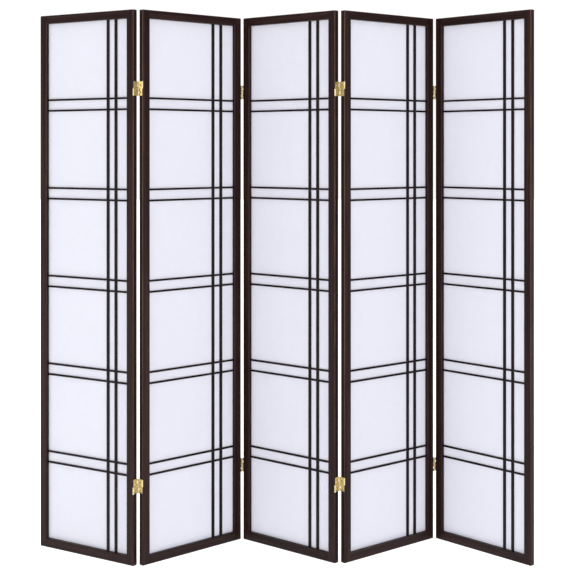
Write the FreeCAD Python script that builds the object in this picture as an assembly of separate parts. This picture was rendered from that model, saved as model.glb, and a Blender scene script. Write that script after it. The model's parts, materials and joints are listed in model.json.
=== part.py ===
import FreeCAD, Part
import math
import os
from FreeCAD import Placement, Rotation, Vector

# Folding room divider of five hinged panels: stained wood frames, a thin lattice in front of a
# translucent paper sheet, and brass double-action hinges. Millimetres, +Z up, the front faces -Y.

# Panel frame
PANEL_HEIGHT = 1778.0
PANEL_WIDTH = 407.0
PANEL_THICKNESS = 19.0
STILE_WIDTH = 28.0
TOP_RAIL_HEIGHT = 27.8
BOTTOM_RAIL_HEIGHT = 29.2
EASED_EDGE = 3.0
EASED_INNER_EDGE = 1.2
TENON_LENGTH = 14.0
TENON_THICKNESS = 6.0
TENON_SHOULDER = 5.0

# Lattice
UPRIGHT_WIDTH = 9.6
CROSS_BAR_HEIGHT = 6.3
BAR_SETBACK = 7.2
BAR_STUB = 4.0
EASED_BAR = 0.6
UPRIGHT_LEFT_EDGES = (287.7, 321.2)
PAIR_SPACING = 35.7
PAIRS = 5

# Paper and the beads that hold it in the rebate at the back
PAPER_SETBACK = 12.0
PAPER_THICKNESS = 0.4
PAPER_MARGIN = 0.5
REBATE_WIDTH = 7.0
BEAD_DEPTH = 6.0
BEAD_BEVEL = 2.0

# Double-action hinges
PANEL_GAP = 5.0
PIN_STANDOFF = 2.0
HINGE_HEIGHT = 46.0
HINGE_FROM_END = 253.0
HALF_GAP = 0.6
KNUCKLE_RADIUS = 2.5
LEAF_KNUCKLE_LENGTH = 7.2
KNUCKLE_GAP = 0.3
PLATE_THICKNESS = 1.2
PLATE_CORNER_RADIUS = 1.8
LEAF_WIDTH = 15.4
LINK_WIDTH = 14.6
LINK_WINDOW_RADIUS = 3.6
PIN_RADIUS = 1.2
PIN_CLEARANCE = 0.05
SCREW_HEAD_RADIUS = 3.2
SCREW_SHANK_RADIUS = 2.0
SCREW_CROWN = 0.7
SCREW_LENGTH = 16.0
SCREW_POINT = 4.0
SLOT_WIDTH = 0.9
SLOT_DEPTH = 0.9

# How the panels stand, in degrees about +Z: a plus heading brings the right end forward
HEADINGS = (31.6, -43.9, 39.5, -41.2, 46.2)

# Worked-out sizes
OPENING_WIDTH = PANEL_WIDTH - 2 * STILE_WIDTH
OPENING_HEIGHT = PANEL_HEIGHT - TOP_RAIL_HEIGHT - BOTTOM_RAIL_HEIGHT
BAR_DEPTH = PAPER_SETBACK - BAR_SETBACK
PAIR_HEIGHT = PAIR_SPACING + CROSS_BAR_HEIGHT
CELL_HEIGHT = (OPENING_HEIGHT - PAIRS * PAIR_HEIGHT) / (PAIRS + 1)
MID_DEPTH = PANEL_THICKNESS / 2
PIN_DEPTH = MID_DEPTH + PIN_STANDOFF
HALF_HEIGHT = (HINGE_HEIGHT - HALF_GAP) / 2
LINK_KNUCKLE_LENGTH = HALF_HEIGHT - 2 * (LEAF_KNUCKLE_LENGTH + KNUCKLE_GAP)
SCREW_HEIGHT = HALF_GAP / 2 + HALF_HEIGHT / 2
HINGE_HEIGHTS = (HINGE_FROM_END, PANEL_HEIGHT - HINGE_FROM_END)


def block(x0, x1, y0, y1, z0, z1):
    return Part.makeBox(x1 - x0, y1 - y0, z1 - z0, Vector(x0, y0, z0))


def rod(radius, length, base, direction=Vector(0, 0, 1)):
    return Part.makeCylinder(radius, length, base, direction)


def prism(points, height):
    """An upright prism on a closed outline of points."""
    outline = Part.makePolygon(points + points[:1])
    return Part.Face(outline).extrude(Vector(0, 0, height))


# Panel frame

def cross_bar_heights():
    """The underside of every cross bar, from the bottom pair up."""
    heights = []
    for pair in range(PAIRS):
        low = BOTTOM_RAIL_HEIGHT + CELL_HEIGHT + pair * (CELL_HEIGHT + PAIR_HEIGHT)
        heights += [low, low + PAIR_SPACING]
    return heights


def frame_blank():
    """The four frame members as one blank: eased edges, the opening and the rebate round it."""
    blank = block(0, PANEL_WIDTH, 0, PANEL_THICKNESS, 0, PANEL_HEIGHT)
    blank = blank.makeFillet(EASED_EDGE, blank.Edges)
    left, right = STILE_WIDTH, PANEL_WIDTH - STILE_WIDTH
    low, high = BOTTOM_RAIL_HEIGHT, PANEL_HEIGHT - TOP_RAIL_HEIGHT
    blank = blank.cut(block(left, right, -1, PANEL_THICKNESS + 1, low, high))
    round_opening = [e for e in blank.Edges if e.BoundBox.YMax < 0.01 and left - 0.01 < e.BoundBox.XMin
                     and e.BoundBox.XMax < right + 0.01 and e.BoundBox.ZMin > low - 0.01]
    blank = blank.makeFillet(EASED_INNER_EDGE, round_opening)
    rebate = block(left - REBATE_WIDTH, right + REBATE_WIDTH, PAPER_SETBACK, PANEL_THICKNESS + 1,
                   low - REBATE_WIDTH, high + REBATE_WIDTH)
    return blank.cut(rebate)


def rail(blank, low, high, tenon_low, tenon_high):
    """A rail between the stiles, with a tenon at each end and sockets for the uprights."""
    left, right = STILE_WIDTH, PANEL_WIDTH - STILE_WIDTH
    body = blank.common(block(left, right, -1, PANEL_THICKNESS + 1, low, high))
    front = (PAPER_SETBACK - TENON_THICKNESS) / 2
    for x in (left - TENON_LENGTH, right):
        tenon = block(x, x + TENON_LENGTH, front, front + TENON_THICKNESS, tenon_low, tenon_high)
        body = body.fuse(tenon)
    return body.cut(uprights_as_boxes()).removeSplitter()


def top_rail(blank):
    low = PANEL_HEIGHT - TOP_RAIL_HEIGHT
    return rail(blank, low, PANEL_HEIGHT, low + TENON_SHOULDER, PANEL_HEIGHT - TENON_SHOULDER)


def bottom_rail(blank):
    high = BOTTOM_RAIL_HEIGHT
    return rail(blank, 0, high, TENON_SHOULDER, high - TENON_SHOULDER)


def stile(blank, left_edge, rails):
    """A full-height stile, mortised for the rails and socketed for the cross bars."""
    body = blank.common(block(left_edge, left_edge + STILE_WIDTH, -1, PANEL_THICKNESS + 1,
                              -1, PANEL_HEIGHT + 1))
    return body.cut(rails + cross_bars_as_boxes())


# Lattice

def uprights_as_boxes():
    low = BOTTOM_RAIL_HEIGHT - BAR_STUB
    high = PANEL_HEIGHT - TOP_RAIL_HEIGHT + BAR_STUB
    return [block(x, x + UPRIGHT_WIDTH, BAR_SETBACK, PAPER_SETBACK, low, high)
            for x in UPRIGHT_LEFT_EDGES]


def cross_bars_as_boxes():
    left = STILE_WIDTH - BAR_STUB
    right = PANEL_WIDTH - STILE_WIDTH + BAR_STUB
    return [block(left, right, BAR_SETBACK, PAPER_SETBACK, z, z + CROSS_BAR_HEIGHT)
            for z in cross_bar_heights()]


def eased_bar(bar):
    """A bar with its two long front edges eased."""
    long_front = [e for e in bar.Edges if e.BoundBox.YMax < BAR_SETBACK + 0.01 and e.Length > CELL_HEIGHT]
    return bar.makeFillet(EASED_BAR, long_front)


def lattice_half(front, back):
    """A slab over the whole opening, used to halve the bars where they cross."""
    return block(0, PANEL_WIDTH, front, back, 0, PANEL_HEIGHT)


def upright_bars():
    """Uprights halved from behind, so that they lap over the cross bars."""
    behind = lattice_half(BAR_SETBACK + BAR_DEPTH / 2, PAPER_SETBACK)
    notches = [bar.common(behind) for bar in cross_bars_as_boxes()]
    return [eased_bar(bar).cut(notches) for bar in uprights_as_boxes()]


def cross_bars():
    """Cross bars halved from the front, under the uprights."""
    ahead = lattice_half(BAR_SETBACK, BAR_SETBACK + BAR_DEPTH / 2)
    notches = [bar.common(ahead) for bar in uprights_as_boxes()]
    return [eased_bar(bar).cut(notches) for bar in cross_bars_as_boxes()]


# Paper and beads

def paper():
    inset = REBATE_WIDTH - PAPER_MARGIN
    return [block(STILE_WIDTH - inset, PANEL_WIDTH - STILE_WIDTH + inset,
                  PAPER_SETBACK, PAPER_SETBACK + PAPER_THICKNESS,
                  BOTTOM_RAIL_HEIGHT - inset, PANEL_HEIGHT - TOP_RAIL_HEIGHT + inset)]


def bead(length):
    """A mitred bead lying along X, its outer edge at Y=0 and its back at Z=BEAD_DEPTH."""
    corners = [Vector(0, 0, 0), Vector(length, 0, 0),
               Vector(length - REBATE_WIDTH, REBATE_WIDTH, 0), Vector(REBATE_WIDTH, REBATE_WIDTH, 0)]
    body = prism(corners, BEAD_DEPTH)
    inner_back = [e for e in body.Edges
                  if e.BoundBox.YMin > REBATE_WIDTH - 0.01 and e.BoundBox.ZMin > BEAD_DEPTH - 0.01]
    return body.makeChamfer(BEAD_BEVEL, inner_back)


def back_beads():
    """Four beads round the rebate: bottom, right, top and left."""
    wide = OPENING_WIDTH + 2 * REBATE_WIDTH
    tall = OPENING_HEIGHT + 2 * REBATE_WIDTH
    left = STILE_WIDTH - REBATE_WIDTH
    low = BOTTOM_RAIL_HEIGHT - REBATE_WIDTH
    back = PAPER_SETBACK + PAPER_THICKNESS
    upright = Rotation(Vector(1, 0, 0), -90)
    beads = []
    for turn, length, x, z in ((180, wide, left + wide, low), (90, tall, left + wide, low + tall),
                               (0, wide, left, low + tall), (-90, tall, left, low)):
        about_depth = Rotation(Vector(0, 1, 0), turn)
        piece = bead(length)
        piece.Placement = Placement(Vector(x, back, z), about_depth.multiply(upright))
        beads.append(piece)
    return beads


# Hinge pieces, with the hinge open flat: X across the gap, Y the depth from mid panel, Z from mid height

def knuckle_outline(pin_y, reach_y):
    """A leaf's edge rolled round a pin, from the plate at reach_y to the knuckle at pin_y."""
    outer = -KNUCKLE_RADIUS
    inner = outer + PLATE_THICKNESS
    side = math.copysign(1, pin_y)
    meet = pin_y - side * math.sqrt(KNUCKLE_RADIUS ** 2 - inner ** 2)
    roll = Part.Arc(Vector(outer, pin_y, 0), Vector(KNUCKLE_RADIUS, pin_y, 0), Vector(inner, meet, 0))
    edges = [Part.makeLine(Vector(outer, reach_y, 0), Vector(outer, pin_y, 0)),
             roll.toShape(),
             Part.makeLine(Vector(inner, meet, 0), Vector(inner, reach_y, 0)),
             Part.makeLine(Vector(inner, reach_y, 0), Vector(outer, reach_y, 0))]
    return Part.Face(Part.Wire(edges))


def plate(x0, x1, width, z0, z1):
    """An upright hinge plate with rounded corners."""
    sheet = block(x0, x1, -width / 2, width / 2, z0, z1)
    corners = [e for e in sheet.Edges if e.BoundBox.XLength > (x1 - x0) / 2]
    return sheet.makeFillet(PLATE_CORNER_RADIUS, corners)


def hinge_leaf():
    """A leaf on the left panel's edge: two knuckles behind in the upper half, two in front below."""
    outer = -KNUCKLE_RADIUS
    top = HINGE_HEIGHT / 2
    near_middle = HALF_GAP / 2
    half_width = LEAF_WIDTH / 2
    leaf = plate(outer, outer + PLATE_THICKNESS, LEAF_WIDTH, -top, top)
    for side, base in ((1, near_middle), (1, top - LEAF_KNUCKLE_LENGTH),
                       (-1, -top), (-1, -near_middle - LEAF_KNUCKLE_LENGTH)):
        knuckle = knuckle_outline(side * PIN_DEPTH, side * (half_width - PLATE_CORNER_RADIUS))
        knuckle.translate(Vector(0, 0, base))
        leaf = leaf.fuse(knuckle.extrude(Vector(0, 0, LEAF_KNUCKLE_LENGTH)))
        leaf = leaf.cut(rod(PIN_RADIUS, LEAF_KNUCKLE_LENGTH, Vector(0, side * PIN_DEPTH, base)))
    return leaf.cut(in_leaf([screw_body()])).removeSplitter()


def hinge_link(half):
    """The link of the upper half (+1) or the lower half (-1), a knuckle on each of its two edges."""
    middle = half * (HALF_GAP + HALF_HEIGHT) / 2
    thin = PLATE_THICKNESS / 2
    base = middle - LINK_KNUCKLE_LENGTH / 2
    link = plate(-thin, thin, LINK_WIDTH, middle - HALF_HEIGHT / 2, middle + HALF_HEIGHT / 2)
    link = link.fuse(block(-thin, thin, -PIN_DEPTH, PIN_DEPTH, base, base + LINK_KNUCKLE_LENGTH))
    for side in (-1, 1):
        axis = Vector(0, side * PIN_DEPTH, base)
        link = link.fuse(rod(KNUCKLE_RADIUS, LINK_KNUCKLE_LENGTH, axis))
        link = link.cut(rod(PIN_RADIUS + PIN_CLEARANCE, LINK_KNUCKLE_LENGTH, axis))
    window = rod(LINK_WINDOW_RADIUS, 2 * thin, Vector(-thin, 0, middle), Vector(1, 0, 0))
    return link.cut(window).removeSplitter()


def hinge_pins():
    """The two pins staked in the left leaf: upper half behind, lower half in front."""
    base = HALF_GAP / 2
    return [rod(PIN_RADIUS, HALF_HEIGHT, Vector(0, PIN_DEPTH, base)),
            rod(PIN_RADIUS, HALF_HEIGHT, Vector(0, -PIN_DEPTH, -base - HALF_HEIGHT))]


def screw_body():
    """An oval-head wood screw along X with its point at minus X and the leaf's face at X=0."""
    crown_radius = (SCREW_HEAD_RADIUS ** 2 + SCREW_CROWN ** 2) / (2 * SCREW_CROWN)
    half_angle = math.asin(SCREW_HEAD_RADIUS / crown_radius) / 2
    crown = Vector(SCREW_CROWN, 0, 0)
    on_crown = Vector(SCREW_CROWN - crown_radius * (1 - math.cos(half_angle)),
                      crown_radius * math.sin(half_angle), 0)
    rim = Vector(0, SCREW_HEAD_RADIUS, 0)
    profile = [rim, Vector(-PLATE_THICKNESS, SCREW_SHANK_RADIUS, 0),
               Vector(SCREW_POINT - SCREW_LENGTH, SCREW_SHANK_RADIUS, 0),
               Vector(-SCREW_LENGTH, 0, 0), crown]
    edges = Part.makePolygon(profile).Edges + [Part.Arc(crown, on_crown, rim).toShape()]
    outline = Part.Face(Part.Wire(Part.sortEdges(edges)[0]))
    return outline.revolve(Vector(0, 0, 0), Vector(1, 0, 0), 360)


def in_leaf(shapes):
    """Copies of a screw's shapes at both of the left leaf's screw holes."""
    face = -KNUCKLE_RADIUS + PLATE_THICKNESS
    return [copy for z in (SCREW_HEIGHT, -SCREW_HEIGHT)
            for copy in moved(shapes, Vector(face, 0, z))]


def hinge_screws():
    """Two slotted wood screws through the left leaf into the stile."""
    slot = block(SCREW_CROWN - SLOT_DEPTH, SCREW_CROWN + 1, -SLOT_WIDTH / 2, SLOT_WIDTH / 2,
                 -SCREW_HEAD_RADIUS, SCREW_HEAD_RADIUS)
    return in_leaf([screw_body().cut(slot)])


# Where things go

def heading_vectors(heading):
    """Unit vectors along a panel and into its depth."""
    angle = math.radians(heading)
    return (Vector(math.cos(angle), -math.sin(angle), 0), Vector(math.sin(angle), math.cos(angle), 0))


def pivot_depth(joint):
    """Joints 1 and 3 fold about the pins behind the panels, 2 and 4 about the pins in front."""
    return MID_DEPTH + (PIN_DEPTH if joint % 2 else -PIN_DEPTH)


def panel_corners():
    """Each panel's front left corner on the floor, chained through the pivots from panel 1."""
    corner = Vector(0, 0, 0)
    corners = [corner]
    for joint, (heading, following) in enumerate(zip(HEADINGS, HEADINGS[1:]), 1):
        along, inward = heading_vectors(heading)
        next_along, next_inward = heading_vectors(following)
        depth = pivot_depth(joint)
        pivot = corner + along * (PANEL_WIDTH + PANEL_GAP / 2) + inward * depth
        corner = pivot + next_along * (PANEL_GAP / 2) - next_inward * depth
        corners.append(corner)
    return corners


def moved(shapes, offset, turn=0):
    """Copies of shapes turned about Z and then moved."""
    copies = []
    for shape in shapes:
        copy = shape.copy()
        copy.Placement = Placement(offset, Rotation(Vector(0, 0, 1), turn)).multiply(copy.Placement)
        copies.append(copy)
    return copies


def hinge_pieces(panel):
    """What the hinges leave on one panel: leaves, links, pins and screws, in the panel's own place."""
    pieces = {"hinge_leaves": [], "hinge_links": [], "hinge_pins": [], "hinge_screws": []}
    leaf, pins, screws = hinge_leaf(), hinge_pins(), hinge_screws()
    edges = []
    if panel > 1:
        edges.append((panel - 1, -PANEL_GAP / 2, 180))
    if panel < len(HEADINGS):
        edges.append((panel, PANEL_WIDTH + PANEL_GAP / 2, 0))
    for joint, x, turn in edges:
        on_right_panel = turn == 180
        half = 1 if on_right_panel == (joint % 2 == 1) else -1
        for z in HINGE_HEIGHTS:
            middle = Vector(x, MID_DEPTH, z)
            pieces["hinge_leaves"] += moved([leaf], middle, turn)
            pieces["hinge_links"] += moved([hinge_link(half)], middle)
            pieces["hinge_pins"] += moved(pins, middle, turn)
            pieces["hinge_screws"] += moved(screws, middle, turn)
    return pieces


def panel_pieces():
    """The wood and paper of one panel, in the panel's own place."""
    blank = frame_blank()
    rails = [top_rail(blank), bottom_rail(blank)]
    return {
        "left_stile": [stile(blank, 0, rails)],
        "right_stile": [stile(blank, PANEL_WIDTH - STILE_WIDTH, rails)],
        "top_rail": rails[:1],
        "bottom_rail": rails[1:],
        "upright_bars": upright_bars(),
        "cross_bars": cross_bars(),
        "paper": paper(),
        "back_beads": back_beads(),
    }


def placed_nodes():
    """Every sub-part by name, standing on the floor round the middle of the whole screen."""
    nodes = {}
    shared = panel_pieces()
    for panel, (heading, corner) in enumerate(zip(HEADINGS, panel_corners()), 1):
        for name, solids in {**shared, **hinge_pieces(panel)}.items():
            nodes[f"panel_{panel}_{name}"] = Part.makeCompound(moved(solids, corner, -heading))
    box = Part.makeCompound(list(nodes.values())).optimalBoundingBox()
    middle = Vector(-(box.XMin + box.XMax) / 2, -(box.YMin + box.YMax) / 2, 0)
    return {name: Part.makeCompound(moved([shape], middle)) for name, shape in nodes.items()}


os.makedirs("parts", exist_ok=True)
for node, shape in placed_nodes().items():
    shape.exportStep(f"parts/{node}.step")
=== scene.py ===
# %% [markdown]
# # A folding screen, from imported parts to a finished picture
#
# The screen is five tall wooden frames joined by small brass hinges. Its pieces arrive already made at
# their real size, and this lesson gives them their finish: dark stained wood, white paper and bright
# brass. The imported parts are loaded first, because every later step takes its places and sizes from them.

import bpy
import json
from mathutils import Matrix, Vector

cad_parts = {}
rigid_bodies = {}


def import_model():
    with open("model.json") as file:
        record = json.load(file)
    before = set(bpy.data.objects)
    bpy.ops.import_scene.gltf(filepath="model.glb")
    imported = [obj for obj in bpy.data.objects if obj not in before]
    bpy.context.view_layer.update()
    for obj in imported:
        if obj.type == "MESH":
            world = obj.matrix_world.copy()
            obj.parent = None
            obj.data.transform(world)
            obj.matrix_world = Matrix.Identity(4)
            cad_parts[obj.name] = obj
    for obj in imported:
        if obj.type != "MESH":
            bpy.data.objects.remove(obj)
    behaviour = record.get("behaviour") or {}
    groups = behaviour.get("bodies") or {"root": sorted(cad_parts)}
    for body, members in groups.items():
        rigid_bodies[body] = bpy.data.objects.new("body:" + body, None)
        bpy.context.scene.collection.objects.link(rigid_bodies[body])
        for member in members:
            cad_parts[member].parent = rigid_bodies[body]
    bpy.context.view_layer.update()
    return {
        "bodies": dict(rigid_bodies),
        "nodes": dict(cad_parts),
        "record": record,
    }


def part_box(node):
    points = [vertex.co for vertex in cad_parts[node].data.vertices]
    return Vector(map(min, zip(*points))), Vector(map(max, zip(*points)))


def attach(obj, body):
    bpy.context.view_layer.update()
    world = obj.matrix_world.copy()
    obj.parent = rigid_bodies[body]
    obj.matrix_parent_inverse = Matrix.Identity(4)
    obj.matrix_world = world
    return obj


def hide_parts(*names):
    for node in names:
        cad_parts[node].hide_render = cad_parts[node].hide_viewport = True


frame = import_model()

# %% [markdown]
# The panels stand in a zigzag, so each has its own turn. A panel's paper is a plain thin box, and the
# longest direction of its corner points is the panel's own left-to-right direction. Reading it from the
# points saves a second list of angles, and everything that belongs to a panel can then be written once,
# in its own frame: X along the panel, Y into its depth, Z up, with zero in the middle of the sheet.

# %% Find where each panel stands
import math

import bpy
import numpy as np
from mathutils import Matrix, Vector

PANELS = sorted(frame["bodies"])


def panel_turn(panel):
    """A panel's turn about Z, from the long direction of its sheet."""
    corners = np.array([v.co[:2] for v in frame["nodes"][f"{panel}_paper"].data.vertices])
    along = np.linalg.eigh(np.cov(corners.T))[1][:, 1]
    along = along * math.copysign(1, along[0])
    return math.atan2(along[1], along[0])


def panel_place(panel):
    """The matrix that carries a panel's own frame to where the panel stands."""
    low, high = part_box(f"{panel}_paper")
    return Matrix.Translation((low + high) / 2) @ Matrix.Rotation(panel_turn(panel), 4, "Z")


turns = {panel: panel_turn(panel) for panel in PANELS}
places = {panel: panel_place(panel) for panel in PANELS}
print({panel: round(math.degrees(turn), 1) for panel, turn in turns.items()})

# %% [markdown]
# The looks need a few sizes of the joinery: how big the opening in a frame is, where the bars run and
# where the beads at the back lie. All panels are alike, so one panel's pieces are measured in its own
# frame. Bars that share a node are told apart by the wide gaps between their points.

# %% Measure the joinery of one panel
WIDE_GAP = 0.010


def own_points(panel, piece):
    """A piece's points in its panel's own frame."""
    into_panel = places[panel].inverted()
    return np.array([into_panel @ v.co for v in frame["nodes"][f"{panel}_{piece}"].data.vertices])


def spans(values):
    """Runs of values with a wide gap between one run and the next, as (lowest, highest)."""
    values = np.sort(values)
    cuts = np.flatnonzero(np.diff(values) > WIDE_GAP) + 1
    return [(run[0], run[-1]) for run in np.split(values, cuts)]


model_panel = PANELS[0]
sheet_points = own_points(model_panel, "paper")
sheet_size = np.ptp(sheet_points, axis=0)
half_opening_width = -own_points(model_panel, "left_stile")[:, 0].max()
half_opening_height = own_points(model_panel, "top_rail")[:, 2].min()
uprights = spans(own_points(model_panel, "upright_bars")[:, 0])
cross_bars = spans(own_points(model_panel, "cross_bars")[:, 2])
bead_points = own_points(model_panel, "back_beads")
print("sheet", sheet_size.round(4))
print("opening", round(2 * half_opening_width, 4), "by", round(2 * half_opening_height, 4), "m")
print(len(uprights), "uprights and", len(cross_bars), "cross bars")

# %% [markdown]
# The upright edges of the screen are upright in the picture to within two or three pixels, which is what a
# level camera shows. The horizon is well above the middle of the frame, and a level camera gives that when
# its lens is shifted down. Tilting the camera instead would make the panels lean together, so the shift is
# what is set here. The place and focal length come from fitting the panels' edges and bars, with the
# camera counted from the middle panel's foot.

# %% Set up the camera
PHOTO_SIDE = 576
FOCAL_PIXELS = 1264.6
LEVEL_PIXEL = (336.9, 150.1)
CAMERA_FROM_FOOT = Vector((0.1574, -4.1970, 1.3281))
LEVEL_GAZE = (math.radians(90), 0, 0)

mounts = {mount["name"]: Vector(mount["pos_m"]) for mount in frame["record"]["mounts"]}
lens = bpy.data.cameras.new("photo_camera")
lens.lens = lens.sensor_width * FOCAL_PIXELS / PHOTO_SIDE
lens.shift_x = 0.5 - LEVEL_PIXEL[0] / PHOTO_SIDE
lens.shift_y = LEVEL_PIXEL[1] / PHOTO_SIDE - 0.5
camera = bpy.data.objects.new("photo_camera", lens)
camera.location = mounts["floor_3"] + CAMERA_FROM_FOOT
camera.rotation_euler = LEVEL_GAZE
bpy.context.collection.objects.link(camera)
bpy.context.scene.camera = camera
print("lens", round(lens.lens, 1), "mm, shift", round(lens.shift_x, 3), round(lens.shift_y, 3))

# %% [markdown]
# The studio's light and each finish below are trees of shader nodes. A small helper that makes a node,
# fills its settings and links its inputs keeps those trees readable: a value given for an input is either
# a plain number or colour, or the output of an earlier node.

# %% Helpers that make a node
def add_node(tree, kind, inputs=None, **settings):
    """A new node with its settings, and its inputs linked or filled in."""
    node = tree.nodes.new(kind)
    for name, value in settings.items():
        setattr(node, name, value)
    for name, value in (inputs or {}).items():
        if isinstance(value, bpy.types.NodeSocket):
            tree.links.new(value, node.inputs[name])
        else:
            node.inputs[name].default_value = value
    return node


def calculate(tree, operation, first, second=0.0):
    """The result of one sum on two numbers."""
    return add_node(tree, "ShaderNodeMath", {0: first, 1: second}, operation=operation).outputs[0]


def between(tree, value, low, high, at_low=0.0, at_high=1.0, way="LINEAR"):
    """A number carried from one range to another and held inside it."""
    return add_node(tree, "ShaderNodeMapRange", {
        "Value": value, "From Min": low, "From Max": high, "To Min": at_low, "To Max": at_high},
        interpolation_type=way).outputs[0]


def new_finish(name):
    """A material with its node tree and its shader."""
    material = bpy.data.materials.new(name)
    material.use_nodes = True
    return material, material.node_tree, material.node_tree.nodes["Principled BSDF"]


print("node helpers ready")

# %% [markdown]
# The studio is a white sweep under a large overhead softbox. Behind the screen the sweep shines bright,
# the light from above puts a soft shadow under each rail, and the side behind the camera stays dim,
# because dark lacquered wood looks dark only when it has something darker to reflect. What the camera
# sees directly is kept white on every side, so the dim part lights the screen without showing as a grey
# wall. The standard view transform keeps white at white, as in a product photograph.

# %% Light the sweep
WHITE = (1, 1, 1, 1)
BEHIND_SCREEN = 1.05
BEHIND_CAMERA = 0.30
OVERHEAD = 1.20
BACK_RISE = (0.45, 0.88)
OVERHEAD_RISE = (0.2, 0.8)

bpy.context.scene.view_settings.view_transform = "Standard"
world = bpy.data.worlds.new("white_studio")
world.use_nodes = True
sky = world.node_tree
direction = add_node(sky, "ShaderNodeTexCoord").outputs["Generated"]
towards = add_node(sky, "ShaderNodeSeparateXYZ", {0: direction}).outputs
from_behind = between(sky, towards["Y"], *BACK_RISE, BEHIND_CAMERA, BEHIND_SCREEN, "SMOOTHSTEP")
from_above = between(sky, towards["Z"], *OVERHEAD_RISE, BEHIND_CAMERA, OVERHEAD, "SMOOTHSTEP")
lighting = calculate(sky, "MAXIMUM", from_behind, from_above)
seen_directly = add_node(sky, "ShaderNodeLightPath").outputs["Is Camera Ray"]
sweep = sky.nodes["Background"]
sky.links.new(calculate(sky, "MAXIMUM", seen_directly, lighting), sweep.inputs["Strength"])
sweep.inputs["Color"].default_value = WHITE
bpy.context.scene.world = world
print("light", BEHIND_CAMERA, "in front,", BEHIND_SCREEN, "behind,", OVERHEAD, "above")

# %% [markdown]
# Two large soft lamps, far out to the left and right, each stand square on to the panels that face them,
# so that no panel shades another. A lamp aimed at the near panels would light them more than the far
# ones. So each beam is narrowed and aimed low and past the far end of the screen: the near panels then
# stand in its weaker edge, all panels get about the same light, and the feet are lit as well as the tops.

# %% Two soft lamps
LAMP_SIDE = 6.0
LAMP_OUT = 7.8
LAMP_FORWARD = 9.4
LAMP_HEIGHT = 2.0
LEFT_LAMP = {"aim": (6.0, -1.0, -0.2), "watts": 97, "beam": 56}
RIGHT_LAMP = {"aim": (-6.0, -1.0, -0.6), "watts": 165, "beam": 80}


def soft_lamp(name, place, aim, watts, beam):
    """A large square lamp whose light, held to a beam of some degrees, points at an aim."""
    lamp = bpy.data.lights.new(name, "AREA")
    lamp.shape = "SQUARE"
    lamp.size = LAMP_SIDE
    lamp.energy = watts
    lamp.spread = math.radians(beam)
    holder = bpy.data.objects.new(name, lamp)
    holder.location = place
    holder.rotation_euler = (Vector(aim) - Vector(place)).to_track_quat("-Z", "Y").to_euler()
    bpy.context.collection.objects.link(holder)
    print(name, watts, "W in a beam of", beam, "degrees")


soft_lamp("left_lamp", (-LAMP_OUT, -LAMP_FORWARD, LAMP_HEIGHT), **LEFT_LAMP)
soft_lamp("right_lamp", (LAMP_OUT, -LAMP_FORWARD, LAMP_HEIGHT), **RIGHT_LAMP)

# %% [markdown]
# The floor belongs to the studio and not to the screen. A little glow of its own makes it pure white in the
# picture and sends light up to the lower rails. It lies a hair below the feet, because two faces in one
# plane would flicker.

# %% A white floor
FLOOR_SIDE = 60.0
FLOOR_DROP = 0.0005
FLOOR_PAINT = (0.9, 0.9, 0.9, 1)
FLOOR_ROUGHNESS = 0.9
FLOOR_GLOW = 0.75
SQUARE = ((-1, -1), (1, -1), (1, 1), (-1, 1))

floor_paint, _, paint = new_finish("floor_paint")
paint.inputs["Base Color"].default_value = FLOOR_PAINT
paint.inputs["Roughness"].default_value = FLOOR_ROUGHNESS
paint.inputs["Emission Color"].default_value = WHITE
paint.inputs["Emission Strength"].default_value = FLOOR_GLOW
reach = FLOOR_SIDE / 2
floor_mesh = bpy.data.meshes.new("studio_floor")
floor_mesh.from_pydata([(x * reach, y * reach, -FLOOR_DROP) for x, y in SQUARE], [], [(0, 1, 2, 3)])
floor_mesh.materials.append(floor_paint)
floor = bpy.data.objects.new("studio_floor", floor_mesh)
bpy.context.collection.objects.link(floor)
print("floor", FLOOR_SIDE, "m wide")

# %% [markdown]
# Wood, brass and paper all vary a little from place to place. Noise gives that variation: stretched long
# for grain and fibres, even for clouds and tarnish. Three more helpers make a stretched noise, blend two
# colours by it and turn it into a fine relief.

# %% Helpers for uneven surfaces
def stretched_noise(tree, vector, stretch, detail, roughness=0.5, distortion=0.0):
    """A noise whose patches are 1/stretch metres long in each direction."""
    scaled = add_node(tree, "ShaderNodeVectorMath", {0: vector, 1: stretch}, operation="MULTIPLY")
    return add_node(tree, "ShaderNodeTexNoise", {
        "Vector": scaled.outputs[0], "Scale": 1.0, "Detail": detail, "Roughness": roughness,
        "Distortion": distortion}).outputs["Fac"]


def blended(tree, share, first, second):
    """A colour between two colours, which a Mix node keeps in inputs 6 and 7 and output 2."""
    node = add_node(tree, "ShaderNodeMix", {0: share}, data_type="RGBA")
    for socket, colour in ((node.inputs[6], first), (node.inputs[7], second)):
        if isinstance(colour, bpy.types.NodeSocket):
            tree.links.new(colour, socket)
        else:
            socket.default_value = (*colour, 1)
    return node.outputs[2]


def relief(tree, shader, height, strength, depth):
    """Gives a shader a fine relief of some depth in metres."""
    bump = add_node(tree, "ShaderNodeBump", {"Height": height, "Strength": strength, "Distance": depth})
    tree.links.new(bump.outputs["Normal"], shader.inputs["Normal"])


print("surface helpers ready")

# %% [markdown]
# Wood grain runs along a piece, so the pattern has to know which way that is. The Object coordinates are
# first carried into the panel's own frame by a Mapping node, because the panels are turned. Stiles and
# uprights then use Z as the grain and rails and cross bars use X. The mitred beads share one node, so
# they change over on the line of the mitre. Each panel's pattern is also moved a long way off, so that no
# two panels are cut from the same board.

# %% Coordinates along the grain
BOARD_STEP = (3.1, 1.7, 5.3)


def panel_vector(tree, vector, panel, with_place=True):
    """A vector carried from the room into a panel's own frame."""
    return add_node(tree, "ShaderNodeMapping", {
        "Vector": vector, "Location": places[panel].translation if with_place else (0, 0, 0),
        "Rotation": (0, 0, turns[panel])}, vector_type="TEXTURE").outputs["Vector"]


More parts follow.
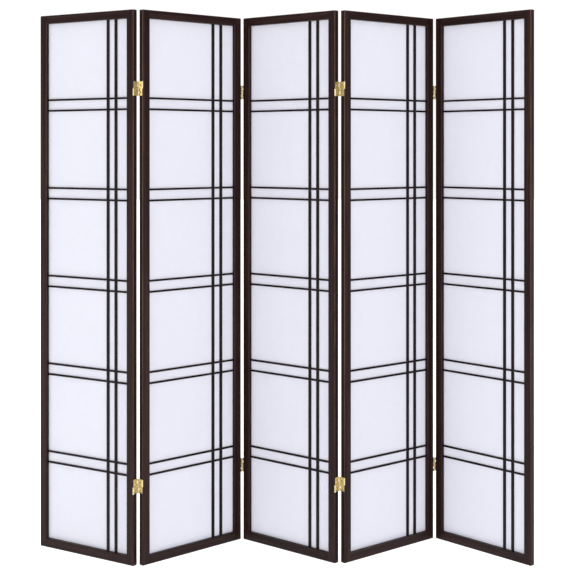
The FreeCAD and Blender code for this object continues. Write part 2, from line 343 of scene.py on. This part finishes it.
def grain_vector(tree, own, panel, grain):
    """Coordinates whose Z runs along the grain: grain is upright, level or mitred."""
    x, y, z = add_node(tree, "ShaderNodeSeparateXYZ", {0: own}).outputs
    upright = own
    level = add_node(tree, "ShaderNodeCombineXYZ", {0: z, 1: y, 2: x}).outputs[0]
    if grain == "mitred":
        # A Mix node keeps its vectors in inputs 4 and 5 and output 1.
        beyond_side = calculate(tree, "SUBTRACT", calculate(tree, "ABSOLUTE", x), half_opening_width)
        beyond_end = calculate(tree, "SUBTRACT", calculate(tree, "ABSOLUTE", z), half_opening_height)
        at_side = calculate(tree, "GREATER_THAN", beyond_side, beyond_end)
        chosen = add_node(tree, "ShaderNodeMix", {0: at_side, 4: level, 5: upright},
                          data_type="VECTOR").outputs[1]
    else:
        chosen = upright if grain == "upright" else level
    number = PANELS.index(panel) + 1
    board = tuple(number * step for step in BOARD_STEP)
    return add_node(tree, "ShaderNodeVectorMath", {0: chosen, 1: board}, operation="ADD").outputs[0]


print("boards are", BOARD_STEP, "m apart in the grain pattern")

# %% [markdown]
# The frames have a dark espresso stain under satin lacquer. Close up such wood shows long soft streaks,
# fine fibres and short dark pores. Streaks and fibres together give a tone, and a colour ramp turns the
# tone into three strengths of stain. A ramp is chosen over one mix, because stained wood has many
# middling places and only a few very dark and very light ones.

# %% Streaks, fibres, pores and stain
STREAKS = (120, 120, 1.6)
FIBRES = (700, 700, 16)
PORES = (1500, 1500, 80)
PORE_RISE = (0.62, 0.70)
STREAK_SHARE = 0.62
FIBRE_SHARE = 0.38
STAIN_STOPS = (0.36, 0.5, 0.66)
STAIN_DARK = (0.0078, 0.0027, 0.0024)
STAIN_BODY = (0.0158, 0.0060, 0.0053)
STAIN_LIGHT = (0.0330, 0.0150, 0.0126)


def grain_pattern(tree, along_grain):
    """The wood's tone, its fibres and its pores."""
    streaks = stretched_noise(tree, along_grain, STREAKS, detail=3, distortion=0.6)
    fibres = stretched_noise(tree, along_grain, FIBRES, detail=2, roughness=0.6)
    pores = between(tree, stretched_noise(tree, along_grain, PORES, detail=1), *PORE_RISE)
    tone = calculate(tree, "ADD", calculate(tree, "MULTIPLY", streaks, STREAK_SHARE),
                     calculate(tree, "MULTIPLY", fibres, FIBRE_SHARE))
    return tone, fibres, pores


def stain_colour(tree, tone, shade):
    """The stain at each tone of the wood, made darker by a shade under 1."""
    ramp = add_node(tree, "ShaderNodeValToRGB", {0: tone})
    stops = ramp.color_ramp.elements
    stops[0].position = STAIN_STOPS[0]
    stops[1].position = STAIN_STOPS[2]
    stops.new(STAIN_STOPS[1])
    for stop, stain in zip(stops, (STAIN_DARK, STAIN_BODY, STAIN_LIGHT)):
        stop.color = (*[shade * part for part in stain], 1)
    return ramp.outputs[0]


print("pores", [round(1000 / size, 2) for size in PORES], "mm")

# %% [markdown]
# Along the rounded edges a warmer, lighter brown is painted into the stain as a highlight, where light from
# above would catch the rounding. Those edges are found from the surface's own direction: on a flat face it
# points along one axis of the panel and on a rounding it lies between two. That needs no painted texture
# and stays with the piece. Low down, the painted highlight is kept weaker.

# %% Painted highlight on the rounded edges
HIGHLIGHT_PATCHES = (40, 40, 9)
HIGHLIGHT_PATCH_RISE = (0.3, 0.6)
WEAKEST_HIGHLIGHT_PATCH = 0.35
FLAT_FACE = 0.95
ROUND_EDGE = 0.55
HIGHLIGHT_RISES_FROM = -0.75
HIGHLIGHT_FULL_ABOVE = -0.15
HIGHLIGHT_LOW_DOWN = 0.2


def rounded_edges(tree, normal, panel):
    """Nearly 1 on a piece's rounded edges and 0 on its flat faces."""
    own = panel_vector(tree, normal, panel, with_place=False)
    squares = add_node(tree, "ShaderNodeVectorMath", {0: own, 1: own}, operation="MULTIPLY")
    x, y, z = add_node(tree, "ShaderNodeSeparateXYZ", {0: squares.outputs[0]}).outputs
    flatness = calculate(tree, "MAXIMUM", calculate(tree, "MAXIMUM", x, y), z)
    return between(tree, flatness, FLAT_FACE, ROUND_EDGE)


def highlight_strength(tree, along_grain, height):
    """How strong the painted edge highlight is at each place: in patches along the grain, weaker low down.
    """
    patches = stretched_noise(tree, along_grain, HIGHLIGHT_PATCHES, detail=2)
    patchy_highlight = between(tree, patches, *HIGHLIGHT_PATCH_RISE, WEAKEST_HIGHLIGHT_PATCH, 1.0)
    highlight_by_height = between(tree, height, HIGHLIGHT_RISES_FROM, HIGHLIGHT_FULL_ABOVE, HIGHLIGHT_LOW_DOWN, 1.0)
    return calculate(tree, "MULTIPLY", patchy_highlight, highlight_by_height)


# The painted edge highlight is strongest from this height up, counted from the middle of the sheet.
print("edges are rubbed most from", HIGHLIGHT_FULL_ABOVE, "m up, counted from the middle of the sheet")

# %% [markdown]
# Now the finish is put together. Stain gathers in the seams where rails meet stiles, and the thin bars are
# made darker than the frames. The lacquer is satin: the fibres vary its roughness a little, and the pores
# are duller and lie deeper.

# %% Stained wood
PORE = (0.0040, 0.0020, 0.0018)
PORE_STRENGTH = 0.7
SEAM = 0.0012
# The colour of the painted edge highlight, and how much of it is laid on.
EDGE_HIGHLIGHT_COLOUR = (0.1500, 0.0900, 0.0700)
EDGE_HIGHLIGHT_SHARE = 0.75
FIBRE_RANGE = (0.3, 0.7)
SATIN = (0.34, 0.46)
PORE_DULLNESS = 0.2
FIBRE_HEIGHT = 0.4
GRAIN_STRENGTH = 0.25
GRAIN_DEPTH = 0.00012
LACQUER_SHINE = 0.12


def stained_wood(panel, grain, shade, name):
    """Espresso-stained wood for one panel, with the grain running upright, level or round the mitres."""
    material, tree, shader = new_finish(f"{panel}_{name}")
    room = add_node(tree, "ShaderNodeTexCoord").outputs
    own = panel_vector(tree, room["Object"], panel)
    sides = add_node(tree, "ShaderNodeSeparateXYZ", {0: own}).outputs
    along_grain = grain_vector(tree, own, panel, grain)
    tone, fibres, pores = grain_pattern(tree, along_grain)
    dark = calculate(tree, "MULTIPLY", pores, PORE_STRENGTH)
    if grain == "level":
        from_middle = calculate(tree, "ABSOLUTE", sides["X"])
        seam = between(tree, from_middle, half_opening_width - SEAM, half_opening_width)
        dark = calculate(tree, "MAXIMUM", dark, seam)
    stain = blended(tree, dark, stain_colour(tree, tone, shade), PORE)
    # Painted highlight: a lighter brown blended onto the rounded edges, weaker low down.
    edges = calculate(tree, "MULTIPLY", rounded_edges(tree, room["Normal"], panel),
                      highlight_strength(tree, along_grain, sides["Z"]))
    colour = blended(tree, calculate(tree, "MULTIPLY", edges, EDGE_HIGHLIGHT_SHARE * shade), stain, EDGE_HIGHLIGHT_COLOUR)
    tree.links.new(colour, shader.inputs["Base Color"])
    satin = between(tree, fibres, *FIBRE_RANGE, *SATIN)
    dullness = calculate(tree, "MULTIPLY", pores, PORE_DULLNESS)
    tree.links.new(calculate(tree, "ADD", satin, dullness), shader.inputs["Roughness"])
    height = calculate(tree, "SUBTRACT", calculate(tree, "MULTIPLY", fibres, FIBRE_HEIGHT), pores)
    relief(tree, shader, height, GRAIN_STRENGTH, GRAIN_DEPTH)
    shader.inputs["Specular IOR Level"].default_value = LACQUER_SHINE
    return material


print("satin lacquer has a roughness of", SATIN)

# %% [markdown]
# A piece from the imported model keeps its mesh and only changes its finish, which is put in its material
# slots. Each panel needs five woods: one for each way of the grain, and two darker ones for the bars.

# %% Stain the frames and the lattice
BAR_SHADE = 0.5
WOODS = {"stile": ("upright", 1.0), "rail": ("level", 1.0), "bead": ("mitred", 1.0),
         "upright_bar": ("upright", BAR_SHADE), "cross_bar": ("level", BAR_SHADE)}
WOOD_OF = {"left_stile": "stile", "right_stile": "stile", "top_rail": "rail", "bottom_rail": "rail",
           "upright_bars": "upright_bar", "cross_bars": "cross_bar", "back_beads": "bead"}


def dress(node, material):
    """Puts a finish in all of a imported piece's material slots."""
    for slot in frame["nodes"][node].material_slots:
        slot.material = material


for panel in PANELS:
    woods = {name: stained_wood(panel, grain, shade, name) for name, (grain, shade) in WOODS.items()}
    for piece, name in WOOD_OF.items():
        dress(f"{panel}_{piece}", woods[name])
print(len(PANELS) * len(WOOD_OF), "wooden nodes stained")

# %% [markdown]
# The hinges are stamped from bright brass-plated sheet. Metal shows almost nothing but what it reflects,
# so its colour stays plain, and its life comes from slightly uneven polish and fine lines left by
# rolling. The screws are turned and polished, so they are smoother than the leaves.

# %% Bright brass
BRASS = (0.66, 0.56, 0.33)
BRASS_SHADE = (0.50, 0.41, 0.20)
ROLLING_LINES = (2500, 2500, 60)
ROLLING_STRENGTH = 0.2
ROLLING_DEPTH = 0.00003
TARNISH = (160, 160, 160)
TARNISH_RISE = (0.45, 0.75)
TARNISH_RANGE = (0.3, 0.7)
LEAF_POLISH = (0.22, 0.36)
TURNED_POLISH = (0.16, 0.26)


def bright_brass(name, polish):
    """Plated brass whose roughness wanders between two values."""
    material, tree, shader = new_finish(name)
    place = add_node(tree, "ShaderNodeTexCoord").outputs["Object"]
    lines = stretched_noise(tree, place, ROLLING_LINES, detail=2)
    tarnish = stretched_noise(tree, place, TARNISH, detail=3, roughness=0.6)
    colour = blended(tree, between(tree, tarnish, *TARNISH_RISE), BRASS, BRASS_SHADE)
    tree.links.new(colour, shader.inputs["Base Color"])
    tree.links.new(between(tree, tarnish, *TARNISH_RANGE, *polish), shader.inputs["Roughness"])
    relief(tree, shader, lines, ROLLING_STRENGTH, ROLLING_DEPTH)
    shader.inputs["Metallic"].default_value = 1.0
    return material


leaf_brass = bright_brass("leaf_brass", LEAF_POLISH)
turned_brass = bright_brass("turned_brass", TURNED_POLISH)
BRASS_OF = {"hinge_leaves": leaf_brass, "hinge_links": leaf_brass,
            "hinge_pins": turned_brass, "hinge_screws": turned_brass}
for panel in PANELS:
    for piece, brass in BRASS_OF.items():
        dress(f"{panel}_{piece}", brass)
print(len(PANELS) * len(BRASS_OF), "brass nodes polished")

# %% [markdown]
# The sheets are white translucent paper, stretched over the back of the lattice and held by the beads.
# Paper sends most of the light back and lets some through, so its finish mixes a matt shader with a
# translucent one. Its long fibres are drawn as the level lines of a soft noise, which wander like real
# ones, and stay faint.

# %% Translucent paper
PAPER_FACE = (0.775, 0.775, 0.835)
PAPER_CLOUD = (0.75, 0.75, 0.81)
PAPER_THROUGH = (0.80, 0.80, 0.85, 1)
LIGHT_THROUGH = 0.40
CLOUDS = (45, 45, 45)
CLOUD_RANGE = (0.35, 0.65)
CLOUD_SHARE = 0.7
FIBRE_FIELDS = (38, 61)
FIBRE_LEVEL = 0.5
FIBRE_BREADTH = 0.012
FIBRE_TINT = 0.3
FIBRE_STRENGTH = 0.15
FIBRE_DEPTH = 0.00005
PAPER_ROUGHNESS = 0.75
PAPER_SHINE = 0.3


def fibre_lines(tree, place, stretch):
    """Thin wandering lines, 1 on a line and 0 between lines."""
    field = stretched_noise(tree, place, (stretch,) * 3, detail=2, distortion=1.2)
    off_line = calculate(tree, "ABSOLUTE", calculate(tree, "SUBTRACT", field, FIBRE_LEVEL))
    return between(tree, off_line, 0.0, FIBRE_BREADTH, 1.0, 0.0)


def sheet_paper():
    """Matt white paper that lets part of the light through."""
    material, tree, shader = new_finish("sheet_paper")
    place = add_node(tree, "ShaderNodeTexCoord").outputs["Object"]
    clouds = stretched_noise(tree, place, CLOUDS, detail=4, roughness=0.55)
    fibres = calculate(tree, "MAXIMUM", *[fibre_lines(tree, place, stretch) for stretch in FIBRE_FIELDS])
    share = calculate(tree, "ADD", between(tree, clouds, *CLOUD_RANGE, 0.0, CLOUD_SHARE),
                      calculate(tree, "MULTIPLY", fibres, FIBRE_TINT))
    tree.links.new(blended(tree, share, PAPER_FACE, PAPER_CLOUD), shader.inputs["Base Color"])
    relief(tree, shader, fibres, FIBRE_STRENGTH, FIBRE_DEPTH)
    shader.inputs["Roughness"].default_value = PAPER_ROUGHNESS
    shader.inputs["Specular IOR Level"].default_value = PAPER_SHINE
    through = add_node(tree, "ShaderNodeBsdfTranslucent", {"Color": PAPER_THROUGH})
    mix = add_node(tree, "ShaderNodeMixShader", {
        0: LIGHT_THROUGH, 1: shader.outputs[0], 2: through.outputs[0]})
    tree.links.new(mix.outputs[0], tree.nodes["Material Output"].inputs["Surface"])
    return material


paper = sheet_paper()
print("paper lets", LIGHT_THROUGH, "of its light through")

# %% [markdown]
# A stretched sheet is never quite flat. It is held wherever wood presses on it and bellies back a little
# in every cell between, more in a large cell than in a narrow one. A cloth simulation could make this, but
# a belly of under a millimetre hardly shows, so a formula was chosen without trying one: a smooth hump
# across each bay times a smooth hump up each bay. The grid's lines fall on the edges of the bars, so that
# the paper is flat exactly where it is pressed.

# %% Bays and humps
GRID_STEP = 0.009
WIDE_BAY = 0.20


def bays(supports, half_opening):
    """The stretches of opening between the frame and the bars, as (start, end)."""
    edges = [-half_opening, *[edge for support in supports for edge in support], half_opening]
    return list(zip(edges[0::2], edges[1::2]))


def grid_lines(half_sheet, open_bays):
    """Grid positions from edge to edge of the sheet, with the bays' edges among them."""
    stops = [-half_sheet, *[edge for bay in open_bays for edge in bay], half_sheet]
    lines = [np.linspace(a, b, max(2, math.ceil((b - a) / GRID_STEP)) + 1)[:-1]
             for a, b in zip(stops, stops[1:])]
    return np.append(np.concatenate(lines), half_sheet)


def humps(lines, open_bays):
    """How far each bay's paper is free to belly at every grid position: one row for each bay."""
    rows = []
    for start, end in open_bays:
        across = np.clip((lines - start) / (end - start), 0, 1)
        rows.append(min(1, (end - start) / WIDE_BAY) * np.sin(np.pi * across) ** 2)
    return np.array(rows)


side_bays = bays(uprights, half_opening_width)
end_bays = bays(cross_bars, half_opening_height)
across_lines = grid_lines(sheet_size[0] / 2, side_bays)
up_lines = grid_lines(sheet_size[2] / 2, end_bays)
print(len(side_bays), "by", len(end_bays), "bays on", len(across_lines), "by", len(up_lines), "grid lines")

# %% [markdown]
# Every sheet has the same grid but its own slack, drawn at random for each cell from a fixed seed. The
# mesh is a closed thin body: a front and a back layer of squares with a wall of squares round the rim.
# Only the two layers are shaded smooth, so the rim stays a crisp cut edge.

# %% The mesh of one sheet
SHEET_THICKNESS = 0.0003
SHEET_CLEARANCE = 0.00003
MOST_BELLY = 0.0009
LEAST_SLACK = 0.45
BELLY_SEED = 7


def sheet_belly(panel):
    """How far one panel's paper bellies back at every point of the grid."""
    rng = np.random.default_rng([BELLY_SEED, PANELS.index(panel)])
    slack = rng.uniform(LEAST_SLACK, 1.0, (len(end_bays), len(side_bays)))
    return MOST_BELLY * humps(up_lines, end_bays).T @ slack @ humps(across_lines, side_bays)


def sheet_faces():
    """The squares of the two layers and the squares of the wall round the rim."""
    index = np.arange(len(up_lines) * len(across_lines)).reshape(len(up_lines), len(across_lines))
    squares = [index[:-1, :-1], index[:-1, 1:], index[1:, 1:], index[1:, :-1]]
    front = np.stack(squares, axis=-1).reshape(-1, 4)
    back = front[:, ::-1] + index.size
    rim = np.concatenate([index[0, :], index[1:, -1], index[-1, -2::-1], index[-2:0:-1, 0]])
    beyond = np.roll(rim, -1)
    walls = np.stack([rim, rim + index.size, beyond + index.size, beyond], axis=-1)
    return np.concatenate([front, back]), walls


def sheet_mesh(panel, belly):
    """A thin closed sheet in its panel's place."""
    front = sheet_points[:, 1].min() + SHEET_CLEARANCE
    x, z = np.meshgrid(across_lines, up_lines)
    layers = [np.stack([x, front + depth + belly, z], axis=-1).reshape(-1, 3)
              for depth in (0, SHEET_THICKNESS)]
    smooth, crisp = sheet_faces()
    mesh = bpy.data.meshes.new(f"{panel}_sheet")
    mesh.from_pydata(np.concatenate(layers).tolist(), [], np.concatenate([smooth, crisp]).tolist())
    mesh.transform(places[panel])
    mesh.materials.append(paper)
    mesh.polygons.foreach_set("use_smooth", [True] * len(smooth) + [False] * len(crisp))
    return mesh


print("sheets", SHEET_THICKNESS * 1000, "mm thick, bellied", MOST_BELLY * 1000, "mm at most")

# %% [markdown]
# Each finished sheet rides on its panel and stands for the plain one in the imported model. It has the size
# the paper was cut to, which is the opening and what lies in the rebate.

# %% Stretch a sheet in every frame
for panel in PANELS:
    belly = sheet_belly(panel)
    mesh = sheet_mesh(panel, belly)
    sheet = bpy.data.objects.new(f"{panel}_sheet", mesh)
    bpy.context.collection.objects.link(sheet)
    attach(sheet, panel)
    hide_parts(f"{panel}_paper")
    print(sheet.name, len(mesh.polygons), "faces, bellied", round(belly.max() * 1000, 2), "mm")

# %% [markdown]
# The photograph doesn't show the back. Beads such as these are usually held by small panel pins, so heads
# of brass-plated pins are set in them, almost flush. They repeat along a path, so a Geometry Nodes tree
# makes them: a line along the beads is divided evenly and a small head with a sloping rim is set on each
# point. The tree's sizes are named inputs, and one mesh of heads is then carried to each panel.

# %% A tree that sets pins along a line
HEAD_SIDES = 12
HEAD_TAPER = 0.55
FACE_BACK = (math.radians(-90), 0, 0)
PIN_SOCKETS = (("Line", "NodeSocketGeometry", "INPUT"), ("Spacing", "NodeSocketFloat", "INPUT"),
               ("Head Radius", "NodeSocketFloat", "INPUT"), ("Head Height", "NodeSocketFloat", "INPUT"),
               ("Finish", "NodeSocketMaterial", "INPUT"), ("Pins", "NodeSocketGeometry", "OUTPUT"))


def pin_tree():
    """Geometry nodes that set pin heads, facing the back, evenly along a mesh line."""
    tree = bpy.data.node_groups.new("bead_pins", "GeometryNodeTree")
    for name, kind, way in PIN_SOCKETS:
        tree.interface.new_socket(name, in_out=way, socket_type=kind)
    given = add_node(tree, "NodeGroupInput").outputs
    curve = add_node(tree, "GeometryNodeMeshToCurve", {"Mesh": given["Line"]})
    points = add_node(tree, "GeometryNodeResampleCurve", {
        "Curve": curve.outputs[0], "Length": given["Spacing"]}, mode="LENGTH")
    head = add_node(tree, "GeometryNodeMeshCone", {
        "Vertices": HEAD_SIDES, "Radius Top": calculate(tree, "MULTIPLY", given["Head Radius"], HEAD_TAPER),
        "Radius Bottom": given["Head Radius"], "Depth": given["Head Height"]})
    heads = add_node(tree, "GeometryNodeInstanceOnPoints", {
        "Points": points.outputs[0], "Instance": head.outputs["Mesh"], "Rotation": FACE_BACK})
    real = add_node(tree, "GeometryNodeRealizeInstances", {0: heads.outputs[0]})
    finished = add_node(tree, "GeometryNodeSetMaterial", {0: real.outputs[0], "Material": given["Finish"]})
    add_node(tree, "NodeGroupOutput", {"Pins": finished.outputs[0]})
    return tree


pins = pin_tree()
print([item.name for item in pins.interface.items_tree])

# %% [markdown]
# The line for the tree runs round the flat back of the beads, a little nearer their outer edge because
# the inner edge is bevelled. The finished heads become a plain mesh, because a modifier would be lost
# later, and that mesh is copied to each panel's place.

# %% Pins in every panel's beads
PIN_INSET = 0.003
PIN_PROUD = 0.0002
PIN_HEAD_HEIGHT = 0.0004
PIN_SIZES = {"Spacing": 0.16, "Head Radius": 0.0008, "Head Height": PIN_HEAD_HEIGHT, "Finish": turned_brass}


def bead_line():
    """A closed line round the beads at the back of a panel, in the panel's own frame."""
    half_width = bead_points[:, 0].max() - PIN_INSET
    half_height = bead_points[:, 2].max() - PIN_INSET
    back = bead_points[:, 1].max() + PIN_PROUD - PIN_HEAD_HEIGHT
    corners = [(x * half_width, back, z * half_height) for x, z in SQUARE]
    mesh = bpy.data.meshes.new("bead_line")
    mesh.from_pydata(corners, [(0, 1), (1, 2), (2, 3), (3, 0)], [])
    return mesh


def pin_heads():
    """The heads round one panel as a plain mesh, in the panel's own frame."""
    maker = bpy.data.objects.new("pin_maker", bead_line())
    bpy.context.collection.objects.link(maker)
    modifier = maker.modifiers.new("pins", "NODES")
    modifier.node_group = pins
    for item in pins.interface.items_tree:
        if item.name in PIN_SIZES:
            modifier[item.identifier] = PIN_SIZES[item.name]
    evaluated = maker.evaluated_get(bpy.context.evaluated_depsgraph_get())
    mesh = bpy.data.meshes.new_from_object(evaluated)
    bpy.data.objects.remove(maker)
    return mesh


heads = pin_heads()
for panel in PANELS:
    mesh = heads.copy()
    mesh.transform(places[panel])
    piece = bpy.data.objects.new(f"{panel}_bead_pins", mesh)
    bpy.context.collection.objects.link(piece)
    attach(piece, panel)
print(len(heads.polygons), "faces in each panel's pin heads")

# %% [markdown]
# The dressed screen must be as large as the imported one.

# %% Finish
import json
